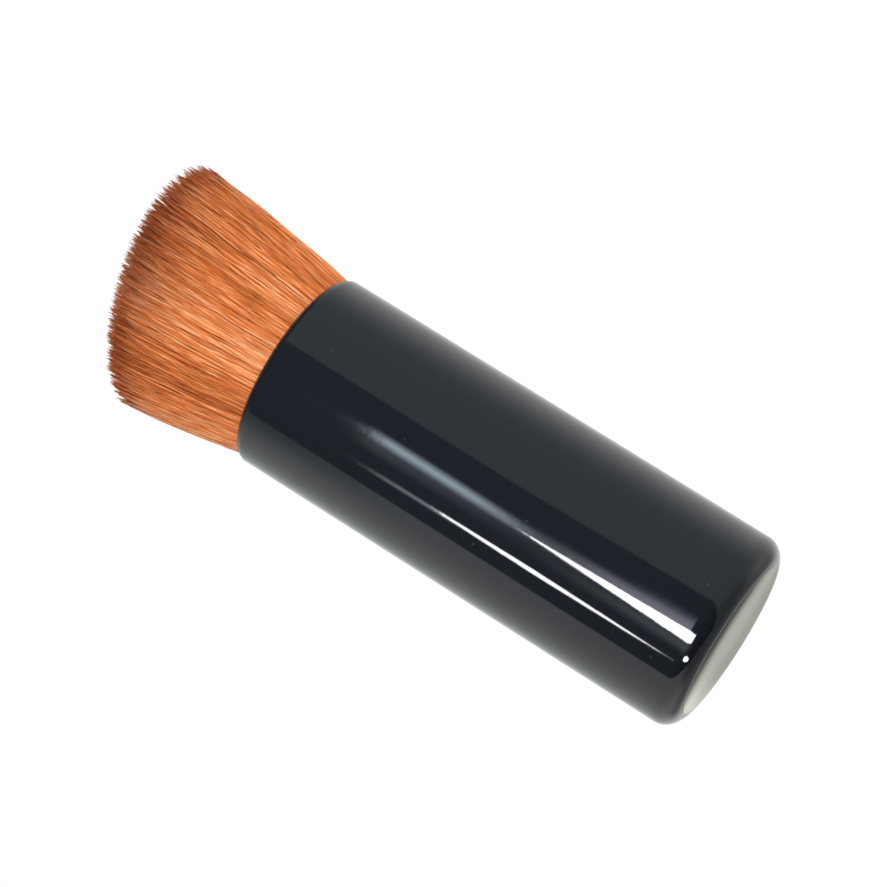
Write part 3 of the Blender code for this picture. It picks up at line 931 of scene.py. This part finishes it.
def floor_mesh():
    """A level disc just under the base, facing up."""
    angle = np.arange(FLOOR_STEPS) * math.tau / FLOOR_STEPS
    edge = np.column_stack([np.cos(angle), np.sin(angle), 0 * angle]) * FLOOR_RADIUS
    points = np.concatenate([edge, [[0, 0, 0]]]) - [0, 0, FLOOR_GAP]
    return mesh_from_arrays("paper_floor", points, [fan_faces(0, FLOOR_STEPS, FLOOR_STEPS)])


def direction(around, height):
    """Unit vector at an angle round the axis from the camera's side, and a height angle."""
    flat = math.cos(height)
    return Vector((math.sin(around) * flat, -math.cos(around) * flat, math.sin(height)))


def round_lamp(name, around, height, half_angle, level):
    """A round lamp of that brightness. It spans twice the half angle as the brush sees it,
    and lights only what is matt, because gloss shows the lights of the world."""
    data = bpy.data.lights.new(name, "AREA")
    data.shape = "DISK"
    data.size = 2 * LAMP_DISTANCE * math.tan(half_angle)
    area = math.pi * (data.size / 2) ** 2
    data.energy = level * area * LAMP_WATTS
    lamp = add_object(name, data)
    way = direction(around, height)
    lamp.location = Vector(LAMP_TARGET) + way * LAMP_DISTANCE
    lamp.rotation_euler = way.to_track_quat("Z", "Y").to_euler()
    lamp.visible_camera = False
    lamp.visible_glossy = False


def photo_camera():
    """The camera where the handle's outline puts it: turned, tilted up, then rolled."""
    data = bpy.data.cameras.new("photo_camera")
    data.sensor_width = SENSOR_WIDTH
    data.lens = FOCAL_PIXELS / PICTURE_PIXELS * SENSOR_WIDTH
    data.clip_start = CAMERA_CLIP
    camera = add_object("photo_camera", data)
    turn = Matrix.Rotation(CAMERA_TURN, 4, "Z")
    tilt = Matrix.Rotation(math.pi / 2 + CAMERA_TILT, 4, "X")
    roll = Matrix.Rotation(CAMERA_ROLL, 4, "Z")
    camera.matrix_world = Matrix.Translation(CAMERA_PLACE) @ turn @ tilt @ roll
    bpy.context.scene.camera = camera


# What properties for lengths and for colours have in common
LENGTH = {"unit": "LENGTH", "subtype": "DISTANCE"}
COLOUR = {"size": 4, "subtype": "COLOR"}


class HandleSettings(bpy.types.PropertyGroup):
    """Sizes and finish of the handle."""

    radius: FloatProperty(
        name="Radius", description="Radius of the straight side", default=HANDLE_RADIUS, **LENGTH
    )
    length: FloatProperty(
        name="Length",
        description="From the base face to the mouth",
        default=HANDLE_LENGTH,
        **LENGTH,
    )
    corner_width: FloatProperty(
        name="Corner width",
        description="Reach of the rounded base corner inwards",
        default=BASE_CORNER_WIDTH,
        **LENGTH,
    )
    corner_height: FloatProperty(
        name="Corner height",
        description="Reach of the rounded base corner up the side",
        default=BASE_CORNER_HEIGHT,
        **LENGTH,
    )
    lip: FloatProperty(
        name="Lip radius",
        description="Radius of the rounded lip at the mouth",
        default=LIP_RADIUS,
        **LENGTH,
    )
    colour: FloatVectorProperty(
        name="Colour",
        description="Body colour of the resin",
        default=linear_colour("14171B"),
        **COLOUR,
    )
    roughness: FloatProperty(
        name="Roughness", description="Roughness of the polish", default=0.03
    )


class TuftSettings(bpy.types.PropertyGroup):
    """Sizes and finish of the tuft."""

    filaments: IntProperty(
        name="Filaments", description="Number of filaments", default=FILAMENTS
    )
    filament_radius: FloatProperty(
        name="Filament radius",
        description="Radius of a filament before its taper",
        default=FILAMENT_RADIUS,
        **LENGTH,
    )
    clump_spacing: FloatProperty(
        name="Clump spacing",
        description="Distance between the small points that the tips gather in",
        default=CLUMP_SPACING,
        **LENGTH,
    )
    colour: FloatVectorProperty(
        name="Colour",
        description="Colour of a filament of middle tone",
        default=linear_colour("E28443"),
        **COLOUR,
    )
    dark_colour: FloatVectorProperty(
        name="Dark colour",
        description="Colour of the darkest filaments",
        default=linear_colour("A55222"),
        **COLOUR,
    )
    light_colour: FloatVectorProperty(
        name="Light colour",
        description="Colour of the lightest filaments",
        default=linear_colour("FFC898"),
        **COLOUR,
    )
    roughness: FloatProperty(
        name="Roughness", description="Roughness of the filaments", default=0.38
    )


class StageSettings(bpy.types.PropertyGroup):
    """Light levels and the floor."""

    fill_level: FloatProperty(
        name="Fill", description="Brightness of the even light from all round", default=0.3
    )
    key_level: FloatProperty(
        name="Key lamp", description="Brightness of the key lamp's face", default=9.9
    )
    front_level: FloatProperty(
        name="Front lamp", description="Brightness of the front lamp's face", default=9.0
    )
    back_level: FloatProperty(
        name="Back lamp", description="Brightness of the large lamp over the back", default=2.0
    )
    floor_colour: FloatVectorProperty(
        name="Floor",
        description="Colour of the paper floor",
        default=linear_colour("F6F6F6"),
        **COLOUR,
    )


class BRUSH_OT_handle(bpy.types.Operator):
    """Turn the gloss black handle"""

    bl_idname = "brush.handle"
    bl_label = "Handle"

    def execute(self, context):
        handle = context.scene.brush_handle
        mesh = turned_mesh("gloss_handle", handle_profile(handle), HANDLE_STEPS)
        place_piece("gloss_handle", mesh, black_resin(handle), "handle", "handle_body")
        return {"FINISHED"}


class BRUSH_OT_tuft_core(bpy.types.Operator):
    """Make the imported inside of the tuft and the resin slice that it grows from"""

    bl_idname = "brush.tuft_core"
    bl_label = "Tuft core"

    def execute(self, context):
        core = core_mesh("tuft_core")
        place_piece("tuft_core", core, packed_filament(), "bristles", "bristle_tuft")
        disc = turned_mesh("root_slice", slice_profile(), SLICE_STEPS)
        resin = cast_resin("slice resin", "7E5026", "A06A38", 0.35, CAST_CLOUD)
        place_piece("root_slice", disc, resin, "resin", "bristle_tuft")
        return {"FINISHED"}


class BRUSH_OT_filaments(bpy.types.Operator):
    """Grow the filaments of the tuft, in sectors"""

    bl_idname = "brush.filaments"
    bl_label = "Filaments"

    def execute(self, context):
        tuft = context.scene.brush_tuft
        filaments = Filaments(tuft)
        material = nylon_filament(tuft)
        sector = (filaments.angle / math.tau * SECTORS).astype(int) % SECTORS
        is_outer = filaments.share > OUTER_SHARE
        for number in range(SECTORS):
            name = f"filament_sector_{number + 1}"
            meshes = []
            for outer in (True, False):
                mine = filaments.chosen((sector == number) & (is_outer == outer))
                meshes.append(filament_mesh(name, mine, tuft, outer))
            mesh = joined_mesh(name, meshes)
            place_piece(name, mesh, material, "bristles", "bristle_tuft")
        return {"FINISHED"}


class BRUSH_OT_inner_finishes(bpy.types.Operator):
    """Finish the pieces inside the socket"""

    bl_idname = "brush.inner_finishes"
    bl_label = "Inner finishes"

    def execute(self, context):
        finishes = {
            "ferrule_cup": drawn_aluminium(),
            "setting_adhesive": cast_resin("set epoxy", "B98B3C", "CFA65C", 0.3, EPOXY_CLOUD),
            "root_resin": cast_resin("root resin", "8A5A2B", "A8743F", 0.38, CAST_CLOUD),
            "binding_thread": waxed_thread(),
        }
        for node, material in finishes.items():
            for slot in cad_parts[node].material_slots:
                slot.material = material
        return {"FINISHED"}


class BRUSH_OT_stage(bpy.types.Operator):
    """Set up the floor, the light and the camera"""

    bl_idname = "brush.stage"
    bl_label = "Stage"

    def execute(self, context):
        stage = context.scene.brush_stage
        mesh = floor_mesh()
        mesh.materials.append(floor_paper(stage))
        floor = add_object("paper_floor", mesh)
        studio_world(stage)
        for name, *angles, level in LAMPS:
            around, height, half_angle = (angle * DEGREE for angle in angles)
            round_lamp(name, around, height, half_angle, getattr(stage, level))
        photo_camera()
        context.scene.view_settings.view_transform = "Standard"
        return {"FINISHED"}


class BRUSH_PT_panel(bpy.types.Panel):
    """Lists the brush's operators and settings"""

    bl_idname = "BRUSH_PT_panel"
    bl_label = "Foundation brush"
    bl_space_type = "VIEW_3D"
    bl_region_type = "UI"
    bl_category = "Brush"

    def draw(self, context):
        layout = self.layout
        for operator in OPERATORS:
            layout.operator(operator.bl_idname)
        for group, kind in SETTINGS.items():
            box = layout.box()
            for name in kind.__annotations__:
                box.prop(getattr(context.scene, group), name)


SETTINGS = {
    "brush_handle": HandleSettings,
    "brush_tuft": TuftSettings,
    "brush_stage": StageSettings,
}
OPERATORS = (
    BRUSH_OT_handle,
    BRUSH_OT_tuft_core,
    BRUSH_OT_filaments,
    BRUSH_OT_inner_finishes,
    BRUSH_OT_stage,
)
CLASSES = (*SETTINGS.values(), *OPERATORS, BRUSH_PT_panel)


def register():
    """Registers the classes and gives the scene its settings."""
    for cls in CLASSES:
        bpy.utils.register_class(cls)
    for group, kind in SETTINGS.items():
        setattr(bpy.types.Scene, group, PointerProperty(type=kind))


def unregister():
    """Takes back what register did."""
    for group in SETTINGS:
        delattr(bpy.types.Scene, group)
    for cls in reversed(CLASSES):
        bpy.utils.unregister_class(cls)


def main():
    """Dresses the brush and sets up its stage."""
    register()
    bpy.ops.brush.handle()
    bpy.ops.brush.tuft_core()
    bpy.ops.brush.filaments()
    bpy.ops.brush.inner_finishes()
    bpy.ops.brush.stage()


if __name__ == "__main__":
    main()
